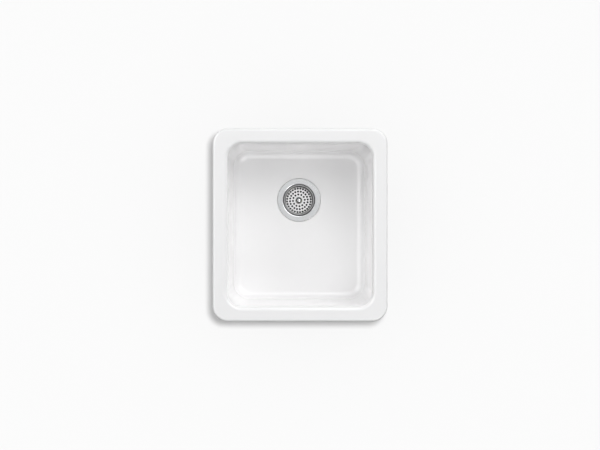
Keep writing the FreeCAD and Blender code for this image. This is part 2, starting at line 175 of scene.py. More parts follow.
drain_edge = joined(
    [
        arc((RECESS_R + RECESS_ROUND, DISH_Z - RECESS_ROUND), RECESS_ROUND, 90, 180, 5),
        arc((RECESS_R - BORE_ROUND, RECESS_Z + BORE_ROUND), BORE_ROUND, 360, 270, 3),
        arc((DRAIN_HOLE_R + BORE_ROUND, RECESS_Z - BORE_ROUND), BORE_ROUND, 90, 180, 3),
        arc((DRAIN_HOLE_R + BORE_ROUND, BOSS_Z + BORE_ROUND), BORE_ROUND, 180, 270, 3),
    ],
    steps=2,
)
boss = joined(
    [
        arc((BOSS_R - BOSS_ROUND, BOSS_Z + BOSS_ROUND), BOSS_ROUND, 270, 360, 4),
        arc((BOSS_R + BOSS_FILLET, UNDER_Z - BOSS_FILLET), BOSS_FILLET, 180, 90, 4),
    ],
    steps=1,
)

rim_loops = [level_loop(inset, RIM_CORNER - inset, z) for inset, z in rim_outside]
basin_loops = [level_loop(inset, bowl_corner(inset, z), z) for inset, z in basin]
directions = [math.atan2(y - DRAIN_Y, x) for x, y, z in basin_loops[-1]]
dish_loops = [drain_loop(directions, radius, z) for radius, z in dish]
drain_loops = [drain_loop(directions, radius, z) for radius, z in drain_edge]
boss_loops = [drain_loop(directions, radius, z) for radius, z in boss]
under_loops = [level_loop(inset, bowl_corner(inset, z), z) for inset, z in under_bowl]
skirt_loops = [level_loop(inset, RIM_CORNER - inset, z) for inset, z in skirt_inside]

enamel_loops = rim_loops + blended(rim_loops[-1], basin_loops[0], DECK_STEPS) + basin_loops
enamel_loops += blended(basin_loops[-1], dish_loops[0], steps=8) + dish_loops + drain_loops[1:]
iron_loops = boss_loops + blended(boss_loops[-1], under_loops[0], steps=6) + under_loops
iron_loops += blended(under_loops[-1], skirt_loops[0], steps=3) + skirt_loops
casting_loops = enamel_loops + iron_loops
around = len(casting_loops[0])
faces = []
for row in range(len(casting_loops)):
    this, below = row * around, (row + 1) % len(casting_loops) * around
    for i in range(around):
        j = (i + 1) % around
        faces.append((this + i, this + j, below + j, below + i))
mesh = bpy.data.meshes.new("enamelled_casting")
mesh.from_pydata([point for loop in casting_loops for point in loop], [], faces)
mesh.polygons.foreach_set("use_smooth", [True] * len(faces))
mesh.polygons.foreach_set("material_index", [int(f // around >= len(enamel_loops)) for f in range(len(faces))])

# The rim's enamel is a greyer white than the bowl's and turns to the bowl's white over the lip: partly thinner
# enamel, partly painted shade that keeps the rim darker than the bowl. The enamel's overspray whitens the iron
# under the rim and fades out down the outside of the bowl.
SHADE_AND_THICKENING_ROWS, SPRAY_END_Z, SPRAY_FADE = 14, -0.030, 0.036
thin_and_shade = mesh.attributes.new("thin_enamel_and_shade", "FLOAT", "POINT")
spray = mesh.attributes.new("overspray", "FLOAT", "POINT")
lip_foot_row = len(rim_loops) + DECK_STEPS - 1 + LIP_STEPS
for row, loop in enumerate(casting_loops):
    thinness_and_shade = max(0.0, min(1.0, (lip_foot_row - row) / SHADE_AND_THICKENING_ROWS))
    sprayed = max(0.0, min(1.0, (loop[0][2] - SPRAY_END_Z) / SPRAY_FADE))
    for i in range(around):
        thin_and_shade.data[row * around + i].value = thinness_and_shade
        spray.data[row * around + i].value = sprayed
enamelled_casting = bpy.data.objects.new("enamelled_casting", mesh)
bpy.context.collection.objects.link(enamelled_casting)


def add(tree, kind, inputs=None, **settings):
    """One node with its settings. An input is a value, or the socket that feeds it."""
    node = tree.nodes.new(kind)
    for name, value in settings.items():
        setattr(node, name, value)
    for name, value in (inputs or {}).items():
        if isinstance(value, bpy.types.NodeSocket):
            tree.links.new(value, node.inputs[name])
        else:
            node.inputs[name].default_value = value
    return node


def new_group(name, ins, outs):
    """An empty shader group with named float inputs and their defaults, and named float outputs."""
    group = bpy.data.node_groups.new(name, "ShaderNodeTree")
    for label, default in ins.items():
        socket = group.interface.new_socket(label, in_out="INPUT", socket_type="NodeSocketFloat")
        socket.default_value = default
    for label in outs:
        group.interface.new_socket(label, in_out="OUTPUT", socket_type="NodeSocketFloat")
    return group, group.nodes.new("NodeGroupInput").outputs


def new_material(name, **constants):
    """A material with its Principled shader. Values that are the same all over go straight on its sockets."""
    material = bpy.data.materials.new(name)
    material.use_nodes = True
    shader = material.node_tree.nodes["Principled BSDF"]
    for label, value in constants.items():
        shader.inputs[label.replace("_", " ")].default_value = value
    return material, material.node_tree, shader


def surfaced(tree, shader, colour, roughness, normal):
    """Joins what varies over a surface to its shader."""
    for label, value in (("Base Color", colour), ("Roughness", roughness), ("Normal", normal)):
        tree.links.new(value, shader.inputs[label])


def own_place(tree):
    """Where a point of a piece lies at rest, in the frame that all pieces share."""
    return add(tree, "ShaderNodeTexCoord").outputs["Object"]


def mottle(tree, place, scale, detail, distortion=0.0):
    """Soft uneven patches."""
    inputs = {"Vector": place, "Scale": scale, "Detail": detail, "Distortion": distortion}
    return add(tree, "ShaderNodeTexNoise", inputs).outputs["Fac"]


def mixed(tree, factor, first, second):
    """Colour between two colours."""
    node = add(tree, "ShaderNodeMix", data_type="RGBA")
    tree.links.new(factor, node.inputs["Factor"])
    for name, value in (("A", first), ("B", second)):
        socket = next(s for s in node.inputs if s.name == name and s.type == "RGBA")
        if isinstance(value, bpy.types.NodeSocket):
            tree.links.new(value, socket)
        else:
            socket.default_value = (*value, 1.0)
    return next(s for s in node.outputs if s.type == "RGBA")


def ranged(tree, value, low, high, from_low=0.0, from_high=1.0):
    """A value that runs from low to high as another one runs from from_low to from_high."""
    inputs = {"Value": value, "From Min": from_low, "From Max": from_high, "To Min": low, "To Max": high}
    return add(tree, "ShaderNodeMapRange", inputs).outputs["Result"]


def bumped(tree, height, strength, distance):
    """Normal of a surface with a fine relief."""
    node = add(tree, "ShaderNodeBump", {"Height": height, "Strength": strength, "Distance": distance})
    return node.outputs["Normal"]


def summed(tree, first, second, operation="ADD"):
    """Sum of two values, or what another operation makes of them."""
    return add(tree, "ShaderNodeMath", {0: first, 1: second}, operation=operation).outputs[0]


# Soft, uneven marks from wiping and handling, shared by the enamel and the cast metals.
PATCHES_LOW, PATCHES_HIGH = 0.3, 0.7
wiped, wiped_in = new_group("wiped_marks", {"Size": 20.0, "Low": 0.1, "High": 0.2}, ("Roughness",))
cloud = mottle(wiped, own_place(wiped), scale=wiped_in["Size"], detail=4.0)
smear = ranged(wiped, cloud, wiped_in["Low"], wiped_in["High"], PATCHES_LOW, PATCHES_HIGH)
add(wiped, "NodeGroupOutput", {"Roughness": smear})

# Grainy skin that a sand mould leaves on cast metal: fine grain, low lumps and a few pits.
GRAIN_SHARE, PIT_SHARE, PITS_PER_GRAIN = 0.35, 0.3, 0.22
PIT_FLOOR, PIT_EDGE = 0.05, 0.22
cast_skin, cast_in = new_group("cast_skin", {"Grain": 900.0, "Lumps": 60.0}, ("Height", "Pits"))
place = own_place(cast_skin)
grain = mottle(cast_skin, place, scale=cast_in["Grain"], detail=3.0)
lumps = mottle(cast_skin, place, scale=cast_in["Lumps"], detail=2.0)
pit_scale = summed(cast_skin, cast_in["Grain"], PITS_PER_GRAIN, "MULTIPLY")
pit_cells = add(cast_skin, "ShaderNodeTexVoronoi", {"Vector": place, "Scale": pit_scale}).outputs["Distance"]
pits = ranged(cast_skin, pit_cells, 1.0, 0.0, PIT_FLOOR, PIT_EDGE)
height = summed(cast_skin, summed(cast_skin, grain, GRAIN_SHARE, "MULTIPLY"), lumps)
height = summed(cast_skin, height, summed(cast_skin, pits, PIT_SHARE, "MULTIPLY"), "SUBTRACT")
add(cast_skin, "NodeGroupOutput", {"Height": height, "Pits": pits})

# Painted shade: the rim's greyer glaze keeps the rim darker than the bowl, besides standing for thinner enamel there.
GLAZE_DARK, GLAZE_LIGHT, GLAZE_THIN_SHADED = (0.915, 0.912, 0.914), (0.932, 0.929, 0.932), (0.872, 0.873, 0.877)
THIN_SHADE_SHARE, PEEL_SHARE, WAVE_HEIGHT = 0.9, 0.012, 0.000012
enamel, tree, shader = new_material("white_enamel", IOR=1.52, Specular_IOR_Level=0.5)
place = own_place(tree)
glaze = mixed(tree, mottle(tree, place, scale=9.0, detail=2.0), GLAZE_DARK, GLAZE_LIGHT)
rim_thin_and_shade = add(tree, "ShaderNodeAttribute", attribute_name="thin_enamel_and_shade").outputs["Fac"]
glaze = mixed(tree, summed(tree, rim_thin_and_shade, THIN_SHADE_SHARE, "MULTIPLY"), glaze, GLAZE_THIN_SHADED)
marks = add(tree, "ShaderNodeGroup", {"Size": 16.0, "Low": 0.06, "High": 0.13}, node_tree=wiped)
waves = mottle(tree, place, scale=22.0, detail=1.5)
peel = mottle(tree, place, scale=420.0, detail=1.0)
ripple = summed(tree, waves, summed(tree, peel, PEEL_SHARE, "MULTIPLY"))
relief = bumped(tree, ripple, strength=1.0, distance=WAVE_HEIGHT)
surfaced(tree, shader, glaze, marks.outputs["Roughness"], relief)

PRIMER_DARK, PRIMER_LIGHT, SPRAYED_WHITE = (0.060, 0.062, 0.066), (0.115, 0.115, 0.116), (0.72, 0.72, 0.72)
RUST, RUST_SHARE = (0.090, 0.055, 0.036), 0.5
SPRAY_NONE, SPRAY_FULL = 0.72, 1.32
primed_iron, tree, shader = new_material("primed_iron")
skin = add(tree, "ShaderNodeGroup", {"Grain": 700.0, "Lumps": 45.0}, node_tree=cast_skin).outputs
place = own_place(tree)
patches = mottle(tree, place, scale=14.0, detail=5.0)
speckle = mottle(tree, place, scale=900.0, detail=6.0)
primer = mixed(tree, patches, PRIMER_DARK, PRIMER_LIGHT)
primer = mixed(tree, summed(tree, skin["Pits"], RUST_SHARE, "MULTIPLY"), primer, RUST)
sprayed = add(tree, "ShaderNodeAttribute", attribute_name="overspray").outputs["Fac"]
sprayed = ranged(tree, summed(tree, sprayed, speckle), 0.0, 1.0, SPRAY_NONE, SPRAY_FULL)
primer = mixed(tree, sprayed, primer, SPRAYED_WHITE)
relief = bumped(tree, skin["Height"], strength=0.7, distance=0.0012)
surfaced(tree, shader, primer, ranged(tree, patches, low=0.62, high=0.85), relief)

mesh.materials.append(enamel)
mesh.materials.append(primed_iron)
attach(enamelled_casting, "sink")
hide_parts("sink_bowl")


# Sealing putty is rolled into a rope, laid in the recess and pressed flat as the flange goes down on it.
# It stays soft and oily, with a dull skin.


def plain_stuff(name, tones, scale, detail, roughness, relief, distortion=0.0, **constants):
    """Putty, fibre or plastic. Its tone, shine and relief all follow the same patches."""
    material, tree, shader = new_material(name, **constants)
    patches = mottle(tree, own_place(tree), scale, detail, distortion)
    colour, shine = mixed(tree, patches, *tones), ranged(tree, patches, *roughness)
    surfaced(tree, shader, colour, shine, bumped(tree, patches, *relief))
    return material


def dress(node_name, material):
    """Gives a carried-over piece its finish."""
    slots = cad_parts[node_name].data.materials
    slots.clear()
    slots.append(material)


putty = plain_stuff(
    "plumbers_putty",
    tones=((0.50, 0.43, 0.30), (0.62, 0.56, 0.43)),
    scale=260.0,
    detail=4.0,
    roughness=(0.55, 0.8),
    relief=(0.6, 0.0004),
)
dress("drain_putty", putty)


# The strainer's body is turned from cast brass and plated: a broad flange that lies in the floor, a throat with a
# ledge for the basket, a seat for the stopper and a spider in the outlet. Inside, below the crown, it is rougher,
# and its colour is darkened as painted shade.
FLANGE_Z, CROWN_Z, SEAT_TOP_Z, OUTLET_Z = -0.1892, -0.1866, -0.2395, -0.2557
BARREL_R, SPIGOT_R, BARREL_WALL = 0.0424, 0.0238, 0.0032
MOUTH_SPREAD, MOUTH_FROM_Z, MOUTH_TO_Z = 0.008, FLANGE_Z - 0.0001, FLANGE_Z + 0.0003
SHADE_FULL_BELOW_Z, SHADE_NONE_ABOVE_Z = CROWN_Z - 0.0016, CROWN_Z - 0.0001
THROAT_SHADE_TONE, DULL_ROUGHNESS = (0.12, 0.12, 0.123), 0.34
RING_DRIFT, RING_STRENGTH, MASK_EDGE = 1.3, 0.35, 0.0003
GRAZING_TINT = (0.15, 0.15, 0.15, 1.0)
lathe, lathe_in = new_group(
    "lathe_lines", {"Fineness": 3000.0, "Low": 0.1, "High": 0.3}, ("Height", "Roughness", "Radius")
)
axis = (0.0, DRAIN_Y, 0.0)
from_axis = add(lathe, "ShaderNodeVectorMath", {0: own_place(lathe), 1: axis}, operation="SUBTRACT").outputs[0]
parts = add(lathe, "ShaderNodeSeparateXYZ", {0: from_axis}).outputs
flat = add(lathe, "ShaderNodeCombineXYZ", {"X": parts["X"], "Y": parts["Y"]}).outputs[0]
radius = add(lathe, "ShaderNodeVectorMath", {0: flat}, operation="LENGTH").outputs["Value"]
bearing = summed(lathe, parts["Y"], parts["X"], "ARCTAN2")
track = add(
    lathe,
    "ShaderNodeCombineXYZ",
    {
        "X": summed(lathe, radius, lathe_in["Fineness"], "MULTIPLY"),
        "Y": summed(lathe, parts["Z"], lathe_in["Fineness"], "MULTIPLY"),
        "Z": summed(lathe, bearing, RING_DRIFT, "MULTIPLY"),
    },
).outputs[0]
lines = mottle(lathe, track, scale=1.0, detail=2.0)
shine = ranged(lathe, lines, lathe_in["Low"], lathe_in["High"], PATCHES_LOW, PATCHES_HIGH)
add(lathe, "NodeGroupOutput", {"Height": lines, "Roughness": shine, "Radius": radius})


def turned_metal(name, tones, fineness, roughness, depth):
    """Bare or plated metal with the fine rings that turning and polishing leave round the drain's axis.

    It shines less at a grazing view than clean bare metal would.
    """
    material, tree, shader = new_material(name, Metallic=1.0, Specular_Tint=GRAZING_TINT)
    low, high = roughness
    rings = add(tree, "ShaderNodeGroup", {"Fineness": fineness, "Low": low, "High": high}, node_tree=lathe).outputs
    colour = mixed(tree, mottle(tree, own_place(tree), scale=70.0, detail=3.0), *tones)
    surfaced(tree, shader, colour, rings["Roughness"], bumped(tree, rings["Height"], RING_STRENGTH, depth))
    return material


def within(tree, bore):
    """Mask of the surfaces that lie nearer to the drain's axis than a bore."""
    radius = add(tree, "ShaderNodeGroup", node_tree=lathe).outputs["Radius"]
    return ranged(tree, summed(tree, bore, radius, "SUBTRACT"), 0.0, 1.0, 0.0, MASK_EDGE)


def level_of(tree):
    """Height of a point."""
    return add(tree, "ShaderNodeSeparateXYZ", {0: own_place(tree)}).outputs["Z"]


def shaded_and_dulled(material, mask, tone, roughness):
    """Darkens a finish's colour as painted shade where a mask says so, and takes the shine off there."""
    tree = material.node_tree
    shader = tree.nodes["Principled BSDF"]
    colour = shader.inputs["Base Color"].links[0].from_socket
    shine = shader.inputs["Roughness"].links[0].from_socket
    tree.links.new(mixed(tree, mask, colour, tone), shader.inputs["Base Color"])
    tree.links.new(ranged(tree, mask, shine, roughness), shader.inputs["Roughness"])


brushed_flange = turned_metal(
    "brushed_flange",
    tones=((0.60, 0.61, 0.62), (0.67, 0.68, 0.69)),
    fineness=2600.0,
    roughness=(0.12, 0.22),
    depth=0.00004,
)
tree = brushed_flange.node_tree
level = level_of(tree)
bore = ranged(tree, level, SPIGOT_R - BARREL_WALL / 2, BARREL_R - BARREL_WALL / 2, OUTLET_Z, SEAT_TOP_Z)
bore = summed(tree, bore, ranged(tree, level, 0.0, MOUTH_SPREAD, MOUTH_FROM_Z, MOUTH_TO_Z))
# Painted shade: below the crown the throat's inside is darkened in colour, for the shade that falls in it.
deep = ranged(tree, level, 1.0, 0.0, SHADE_FULL_BELOW_Z, SHADE_NONE_ABOVE_Z)
shaded_and_dulled(brushed_flange, summed(tree, within(tree, bore), deep, "MULTIPLY"), THROAT_SHADE_TONE, DULL_ROUGHNESS)
dress("strainer_body", brushed_flange)


def new_tree(name, takes):
    """An empty geometry tree with named inputs, and the sockets of those inputs."""
    tree = bpy.data.node_groups.new(name, "GeometryNodeTree")
    tree.interface.new_socket("Geometry", in_out="OUTPUT", socket_type="NodeSocketGeometry")
    for label, kind in takes.items():
        tree.interface.new_socket(label, in_out="INPUT", socket_type="NodeSocket" + kind)
    return tree, tree.nodes.new("NodeGroupInput").outputs


def shaped(tree, kind, inputs, output="Geometry", **settings):
    """What one geometry node makes."""
    return add(tree, "GeometryNode" + kind, inputs, **settings).outputs[output]


def circle(tree, steps, radius):
    """A round path about the origin."""
    return shaped(tree, "CurvePrimitiveCircle", {"Resolution": steps, "Radius": radius}, "Curve", mode="RADIUS")


def grown(name, tree, values, base=None):
    """A plain mesh object of what a geometry tree makes from a base mesh and its named inputs."""
    seed = bpy.data.objects.new(name + "_seed", base or bpy.data.meshes.new(name + "_seed"))
    bpy.context.collection.objects.link(seed)
    modifier = seed.modifiers.new("grow", "NODES")
    modifier.node_group = tree
    for item in tree.interface.items_tree:
        if item.in_out == "INPUT" and item.name in values:
            modifier[item.identifier] = values[item.name]
    evaluated = seed.evaluated_get(bpy.context.evaluated_depsgraph_get())
    made = bpy.data.meshes.new_from_object(evaluated)
    made.name = name
    bpy.data.objects.remove(seed)
    piece = bpy.data.objects.new(name, made)
    bpy.context.collection.objects.link(piece)
    return piece


# One ridge winds round the barrel below the lock nut.
THREAD_R, THREAD_RISE, THREAD_TURNS, THREAD_RIDGE, THREAD_FOOT_Z = 0.0423, 0.0240, 11.0, 0.00065, -0.2372
STEPS_PER_TURN, RIDGE_SIDES = 72, 6
thread, thread_in = new_tree(
    "screw_thread",
    {
        "Radius": "Float",
        "Rise": "Float",
        "Turns": "Float",
        "Ridge": "Float",
        "Foot": "Vector",
        "Finish": "Material",
    },
)
helix = shaped(
    thread,
    "CurveSpiral",
    {
        "Resolution": STEPS_PER_TURN,
        "Rotations": thread_in["Turns"],
        "Start Radius": thread_in["Radius"],
        "End Radius": thread_in["Radius"],
        "Height": thread_in["Rise"],
    },
    "Curve",
)
crest = circle(thread, RIDGE_SIDES, thread_in["Ridge"])
ridge = shaped(thread, "CurveToMesh", {"Curve": helix, "Profile Curve": crest, "Fill Caps": True}, "Mesh")
ridge = shaped(thread, "Transform", {"Geometry": ridge, "Translation": thread_in["Foot"]})
ridge = shaped(thread, "RealizeInstances", {"Geometry": ridge})
ridge = shaped(thread, "SetMaterial", {"Geometry": ridge, "Material": thread_in["Finish"]})
add(thread, "NodeGroupOutput", {"Geometry": ridge})
barrel_thread = grown(
    "barrel_thread",
    thread,
    {
        "Radius": THREAD_R,
        "Rise": THREAD_RISE,
        "Turns": THREAD_TURNS,
        "Ridge": THREAD_RIDGE,
        "Foot": (0.0, DRAIN_Y, THREAD_FOOT_Z),
        "Finish": brushed_flange,
    },
)
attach(barrel_thread, "sink")


# Under the bowl a rubber gasket seals the boss. A fibre washer lies between it and the die-cast lock nut, so that
# the nut can turn without dragging the rubber.
RUBBER_DARK, RUBBER_LIGHT = (0.012, 0.012, 0.013), (0.036, 0.036, 0.037)
black_rubber, tree, shader = new_material("black_rubber")
place = own_place(tree)
bloom = mottle(tree, place, scale=90.0, detail=5.0)
pores = mottle(tree, place, scale=1600.0, detail=2.0)
colour = mixed(tree, bloom, RUBBER_DARK, RUBBER_LIGHT)
relief = bumped(tree, pores, strength=0.3, distance=0.0002)
surfaced(tree, shader, colour, ranged(tree, bloom, low=0.5, high=0.75), relief)
dress("drain_gasket", black_rubber)

fibre = plain_stuff(
    "pressed_fibre",
    tones=((0.22, 0.11, 0.05), (0.42, 0.25, 0.13)),
    scale=700.0,
    detail=6.0,
    distortion=2.0,
    roughness=(0.7, 0.9),
    relief=(0.5, 0.0002),
)
dress("friction_washer", fibre)

GRAINS_PER_LUMP, SKIN_STRENGTH, SKIN_DEPTH = 8, 0.35, 0.0003


def cast_metal(name, tones, roughness, grain):
    """Bare cast metal with the mould's skin on it."""
    material, tree, shader = new_material(name, Metallic=1.0)
    skin = add(tree, "ShaderNodeGroup", {"Grain": grain, "Lumps": grain / GRAINS_PER_LUMP}, node_tree=cast_skin)
    height = skin.outputs["Height"]
    low, high = roughness
    marks = add(tree, "ShaderNodeGroup", {"Size": 60.0, "Low": low, "High": high}, node_tree=wiped)
    relief = bumped(tree, height, SKIN_STRENGTH, SKIN_DEPTH)
    surfaced(tree, shader, mixed(tree, height, *tones), marks.outputs["Roughness"], relief)
    return material


die_cast_zinc = cast_metal(
    "die_cast_zinc", tones=((0.40, 0.41, 0.43), (0.56, 0.57, 0.59)), roughness=(0.38, 0.55), grain=1500.0
)
dress("lock_nut", die_cast_zinc)


# The tailpiece is a drawn brass tube, plated, with a flange that the coupling nut pulls up against the spigot.
# A polyethylene washer seals between them, and the nut is left as raw brass.
plated_tube = turned_metal(
    "plated_tube",
    tones=((0.62, 0.63, 0.65), (0.72, 0.73, 0.74)),
    fineness=1800.0,
    roughness=(0.10, 0.20),
    depth=0.00003,
)
dress("tailpiece", plated_tube)
raw_brass = cast_metal(
    "raw_brass", tones=((0.50, 0.34, 0.13), (0.68, 0.50, 0.22)), roughness=(0.30, 0.48), grain=1800.0
)
dress("coupling_nut", raw_brass)
white_poly = plain_stuff(
    "white_poly",
    tones=((0.68, 0.68, 0.65), (0.78, 0.78, 0.76)),
    scale=240.0,
    detail=3.0,
    roughness=(0.38, 0.55),
    relief=(0.25, 0.0001),
    Subsurface_Weight=0.1,
    Subsurface_Scale=0.001,
)
dress("tailpiece_washer", white_poly)


# The basket is a cup pressed from stainless sheet, with a rolled rim that sits on the throat's ledge.
# Rings of round holes are punched through its floor, and the punch leaves their edges rounded.
SHEET, CUP_TOP_Z, CUP_FLOOR_Z = 0.0008, -0.1921, -0.2321
CUP_TOP_R, CUP_BASE_R, CUP_ROUND = 0.0382, 0.0366, 0.0018
CUP_RIM_R, CUP_RIM_ROUND, CUP_LIP_ROUND, CUP_NECK_ROUND = 0.0401, 0.0007, 0.0007, 0.0003
CUP_AROUND = 120
cup_under_z = CUP_FLOOR_Z - SHEET
rim_under_z = CUP_TOP_Z - 2 * CUP_RIM_ROUND
cup_lean = math.degrees(math.atan((CUP_TOP_R - CUP_BASE_R) / (CUP_TOP_Z - cup_under_z)))
floor_flat_r = CUP_BASE_R - CUP_ROUND
inner_round = CUP_ROUND - SHEET
cup_section = joined(
    [
        arc((floor_flat_r, CUP_FLOOR_Z + inner_round), inner_round, 270, 360 - cup_lean, 6),
        arc((CUP_TOP_R - SHEET + CUP_LIP_ROUND, CUP_TOP_Z - CUP_LIP_ROUND), CUP_LIP_ROUND, 180, 90, 4),
        arc((CUP_RIM_R - CUP_RIM_ROUND, CUP_TOP_Z - CUP_RIM_ROUND), CUP_RIM_ROUND, 90, -90, 8),
        arc((CUP_TOP_R + CUP_NECK_ROUND, rim_under_z - CUP_NECK_ROUND), CUP_NECK_ROUND, 90, 180, 3),
        arc((floor_flat_r, cup_under_z + CUP_ROUND), CUP_ROUND, 360 - cup_lean, 270, 6),
    ],
    steps=2,
)
points = []
for r, z in cup_section:
    for step in range(CUP_AROUND):
        angle = 2 * math.pi * step / CUP_AROUND
        points.append((r * math.cos(angle), DRAIN_Y + r * math.sin(angle), z))
faces = []
for row in range(len(cup_section) - 1):
    this, after = row * CUP_AROUND, (row + 1) * CUP_AROUND
    for i in range(CUP_AROUND):
        j = (i + 1) % CUP_AROUND
        faces.append((this + i, after + i, after + j, this + j))
cup_wall = bpy.data.meshes.new("cup_wall")
cup_wall.from_pydata(points, [], faces)
cup_wall.polygons.foreach_set("use_smooth", [True] * len(faces))

HOLE_R, EDGE_BULGE, HOLE_SIDES, BULGE_STEPS = 0.0026, 0.00015, 20, 5
OUTER_RING_R, RING_PITCH, HOLE_RINGS = 0.032, 0.008, 3
OUTER_RING_HOLES, FEWER_PER_RING, HOLE_START = 28, 8, math.radians(95.6)
BUSH_HOLE_R, BUSH_HOLE_SIDES, WELD = 0.00708, 48, 0.00002
punch, punch_in = new_tree(
    "punched_floor",
    {
        "Geometry": "Geometry",
        "Hole Radius": "Float",
        "Edge Bulge": "Float",
        "Sheet": "Float",
        "Outer Ring Radius": "Float",
        "Ring Pitch": "Float",
        "Outer Ring Holes": "Int",
        "Fewer Per Ring": "Int",
        "Start Angle": "Float",
        "Floor Radius": "Float",
        "Bush Hole Radius": "Float",
        "Floor Middle": "Vector",
        "Around": "Int",
        "Finish": "Material",
    },
)


def gathered(parts):
    """Several geometries as one."""
    join = add(punch, "GeometryNodeJoinGeometry")
    for part in parts:
        punch.links.new(part, join.inputs["Geometry"])
    return join.outputs["Geometry"]


def on_centres(instance):
    """One copy of a path or a mesh at the middle of every hole, made real."""
    copies = shaped(punch, "InstanceOnPoints", {"Points": centres, "Instance": instance}, "Instances")
    return shaped(punch, "RealizeInstances", {"Geometry": copies})


def arrow(**lengths):
    """A step along one axis."""
    return add(punch, "ShaderNodeCombineXYZ", lengths).outputs[0]


def opposite(step):
    """The same step backwards."""
    return add(punch, "ShaderNodeVectorMath", {0: step, "Scale": -1.0}, operation="SCALE").outputs[0]


rings = []
for inwards in range(HOLE_RINGS):
    closer = summed(punch, punch_in["Ring Pitch"], inwards, "MULTIPLY")
    fewer = summed(punch, punch_in["Fewer Per Ring"], inwards, "MULTIPLY")
    ring_r = summed(punch, punch_in["Outer Ring Radius"], closer, "SUBTRACT")
    count = summed(punch, punch_in["Outer Ring Holes"], fewer, "SUBTRACT")
    rings.append(shaped(punch, "MeshCircle", {"Vertices": count, "Radius": ring_r}, "Mesh", fill_type="NONE"))
start = arrow(Z=punch_in["Start Angle"])
centres = shaped(punch, "Transform", {"Geometry": gathered(rings), "Rotation": start})

# The floor is a flat sheet with all its holes left open, once for its top and once for its underside.
half_sheet = summed(punch, punch_in["Sheet"], 0.5, "MULTIPLY")
edge_path = circle(punch, HOLE_SIDES, summed(punch, punch_in["Hole Radius"], punch_in["Edge Bulge"]))
rim_path = circle(punch, punch_in["Around"], punch_in["Floor Radius"])
bush_path = circle(punch, BUSH_HOLE_SIDES, punch_in["Bush Hole Radius"])
outlines = gathered((rim_path, bush_path, on_centres(edge_path)))
plate = shaped(punch, "FillCurve", {"Curve": outlines}, "Mesh")
up = arrow(Z=half_sheet)
top = shaped(punch, "Transform", {"Geometry": plate, "Translation": up})
bottom = shaped(punch, "Transform", {"Geometry": plate, "Translation": opposite(up)})
bottom = shaped(punch, "FlipFaces", {"Mesh": bottom}, "Mesh")
plates = shaped(punch, "SetShadeSmooth", {"Geometry": gathered((top, bottom)), "Shade Smooth": False})

# Round edges close the holes between the two, and a straight wall closes the bush's hole.
wall_top = arrow(Y=half_sheet)
wall_foot = opposite(wall_top)
bulge = arrow(X=summed(punch, punch_in["Edge Bulge"], -1.0, "MULTIPLY"))
roll = {"Resolution": BULGE_STEPS, "Start": wall_top, "Middle": bulge, "End": wall_foot}
roll = shaped(punch, "CurveArc", roll, "Curve", mode="POINTS")
rolled = shaped(punch, "CurveToMesh", {"Curve": edge_path, "Profile Curve": roll}, "Mesh")
rolled = shaped(punch, "SetShadeSmooth", {"Geometry": on_centres(rolled), "Shade Smooth": True})
named = {"Geometry": rolled, "Name": "punched_edge", "Value": 1.0}
rolled = shaped(punch, "StoreNamedAttribute", named, data_type="FLOAT", domain="FACE")
wall_line = shaped(punch, "CurvePrimitiveLine", {"Start": wall_top, "End": wall_foot}, "Curve")
bush_wall = shaped(punch, "CurveToMesh", {"Curve": bush_path, "Profile Curve": wall_line}, "Mesh")
cup_floor = gathered((plates, rolled, bush_wall))
cup_floor = shaped(punch, "Transform", {"Geometry": cup_floor, "Translation": punch_in["Floor Middle"]})
cup = gathered((punch_in["Geometry"], cup_floor))
cup = shaped(punch, "MergeByDistance", {"Geometry": cup, "Distance": WELD})
cup = shaped(punch, "RealizeInstances", {"Geometry": cup})
cup = shaped(punch, "SetMaterial", {"Geometry": cup, "Material": punch_in["Finish"]})
add(punch, "NodeGroupOutput", {"Geometry": cup})

# Painted shade: the cup's inner wall above its floor, its rolled rim and the edges of its holes are darkened in
# colour, for the shade in and under the cup. They are rougher there too.
WALL_SHADE_FROM_Z, WALL_SHADE_TO_Z = CUP_FLOOR_Z + 0.001, CUP_FLOOR_Z + 0.006
RIM_SHADE_FROM_Z, RIM_SHADE_TO_Z, RIM_SHADE_SHARE = CUP_TOP_Z - 0.0022, CUP_TOP_Z - 0.0010, 0.5
WALL_SHADE_TONE, RIM_SHADE_TONE, HOLE_SHADE_TONE = (0.20, 0.20, 0.203), (0.06, 0.06, 0.062), (0.025, 0.025, 0.026)
PUNCHED_ROUGHNESS = 0.45
pressed_stainless = turned_metal(
    "pressed_stainless",
    tones=((0.78, 0.78, 0.78), (0.85, 0.85, 0.85)),
    fineness=1500.0,
    roughness=(0.16, 0.30),
    depth=0.00003,
)
tree = pressed_stainless.node_tree
level = level_of(tree)
bore = ranged(tree, level, CUP_BASE_R - SHEET / 2, CUP_TOP_R - SHEET / 2, CUP_FLOOR_Z, CUP_TOP_Z)
wall_shade = ranged(tree, level, 0.0, 1.0, WALL_SHADE_FROM_Z, WALL_SHADE_TO_Z)
wall_shade = summed(tree, wall_shade, within(tree, bore), "MULTIPLY")
rim_shade = ranged(tree, level, 0.0, RIM_SHADE_SHARE, RIM_SHADE_FROM_Z, RIM_SHADE_TO_Z)
punched = add(tree, "ShaderNodeAttribute", attribute_name="punched_edge").outputs["Fac"]
shaded_and_dulled(pressed_stainless, wall_shade, WALL_SHADE_TONE, DULL_ROUGHNESS)
shaded_and_dulled(pressed_stainless, rim_shade, RIM_SHADE_TONE, DULL_ROUGHNESS)
shaded_and_dulled(pressed_stainless, punched, HOLE_SHADE_TONE, PUNCHED_ROUGHNESS)
